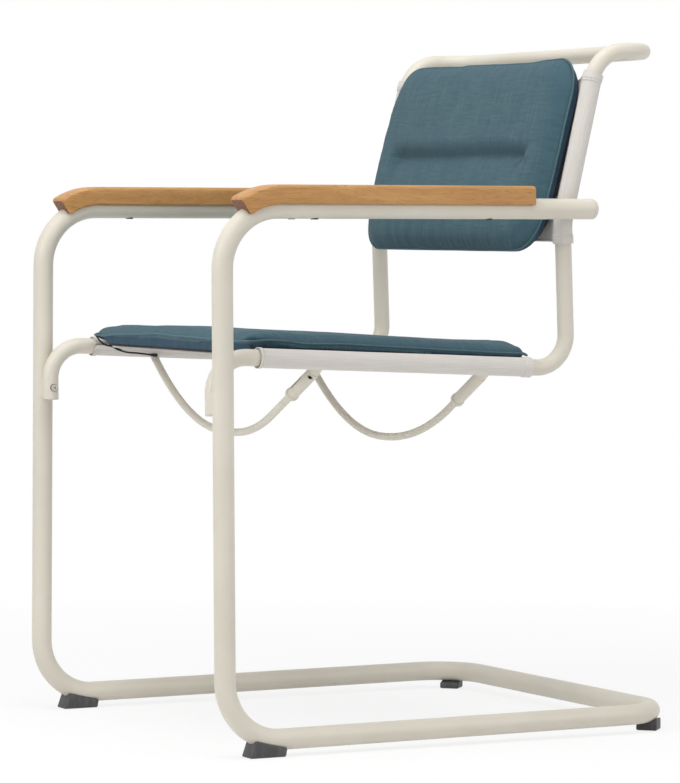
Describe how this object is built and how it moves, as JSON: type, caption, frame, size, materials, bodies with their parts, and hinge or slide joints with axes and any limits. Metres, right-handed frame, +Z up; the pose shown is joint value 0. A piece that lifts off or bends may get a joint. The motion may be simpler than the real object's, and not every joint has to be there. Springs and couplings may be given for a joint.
{
  "type": "cantilever chair",
  "caption": "Cantilever dining chair with a bent steel tube frame, oak arm rests, a mesh sling seat and back, bowed spreader struts below the seat and loose piped cushions.",
  "frame": {"origin": "on the floor, under the middle of the chair's outer box", "axes": "+Z up, -Y towards the chair's front, +X to its right side seen from the front"},
  "size_m": [0.5576, 0.6351, 0.8443],
  "materials": {
    "sand_powder_coat": "satin powder coat",
    "oiled_oak": "oiled",
    "charcoal_plastic": "fine matte",
    "sand_plastic": "satin",
    "mesh_cloth": "ribbed mesh weave",
    "teal_weave": "plain weave",
    "black_elastic": "woven elastic",
    "zinc_screw": "zinc plated"
  },
  "bodies": {
    "root": {"base_frame": "sand_powder_coat", "seat_back_frame": "sand_powder_coat", "arm_cap_left": "sand_plastic", "seat_plug_left": "sand_plastic", "armrest_left": "oiled_oak", "front_foot_left": "charcoal_plastic", "rear_foot_left": "charcoal_plastic", "seat_spacer_left": "sand_powder_coat", "armrest_screw_front_left": "zinc_screw", "armrest_screw_rear_left": "zinc_screw", "seat_screw_left": "zinc_screw", "back_screw_left": "zinc_screw", "cushion_strap_left": "black_elastic", "arm_cap_right": "sand_plastic", "seat_plug_right": "sand_plastic", "armrest_right": "oiled_oak", "front_foot_right": "charcoal_plastic", "rear_foot_right": "charcoal_plastic", "seat_spacer_right": "sand_powder_coat", "armrest_screw_front_right": "zinc_screw", "armrest_screw_rear_right": "zinc_screw", "seat_screw_right": "zinc_screw", "back_screw_right": "zinc_screw", "cushion_strap_right": "black_elastic", "front_strut_rod": "sand_powder_coat", "front_strut_sleeve": "sand_powder_coat", "front_strut_collar": "sand_powder_coat", "front_strut_bracket_left": "sand_powder_coat", "front_strut_bracket_right": "sand_powder_coat", "front_strut_screw": "zinc_screw", "rear_strut_rod": "sand_powder_coat", "rear_strut_sleeve": "sand_powder_coat", "rear_strut_collar": "sand_powder_coat", "rear_strut_bracket_left": "sand_powder_coat", "rear_strut_bracket_right": "sand_powder_coat", "rear_strut_screw": "zinc_screw", "seat_fabric": "mesh_cloth", "back_fabric": "mesh_cloth", "seat_cushion": "teal_weave", "back_cushion": "teal_weave"}
  },
  "joints": []
}
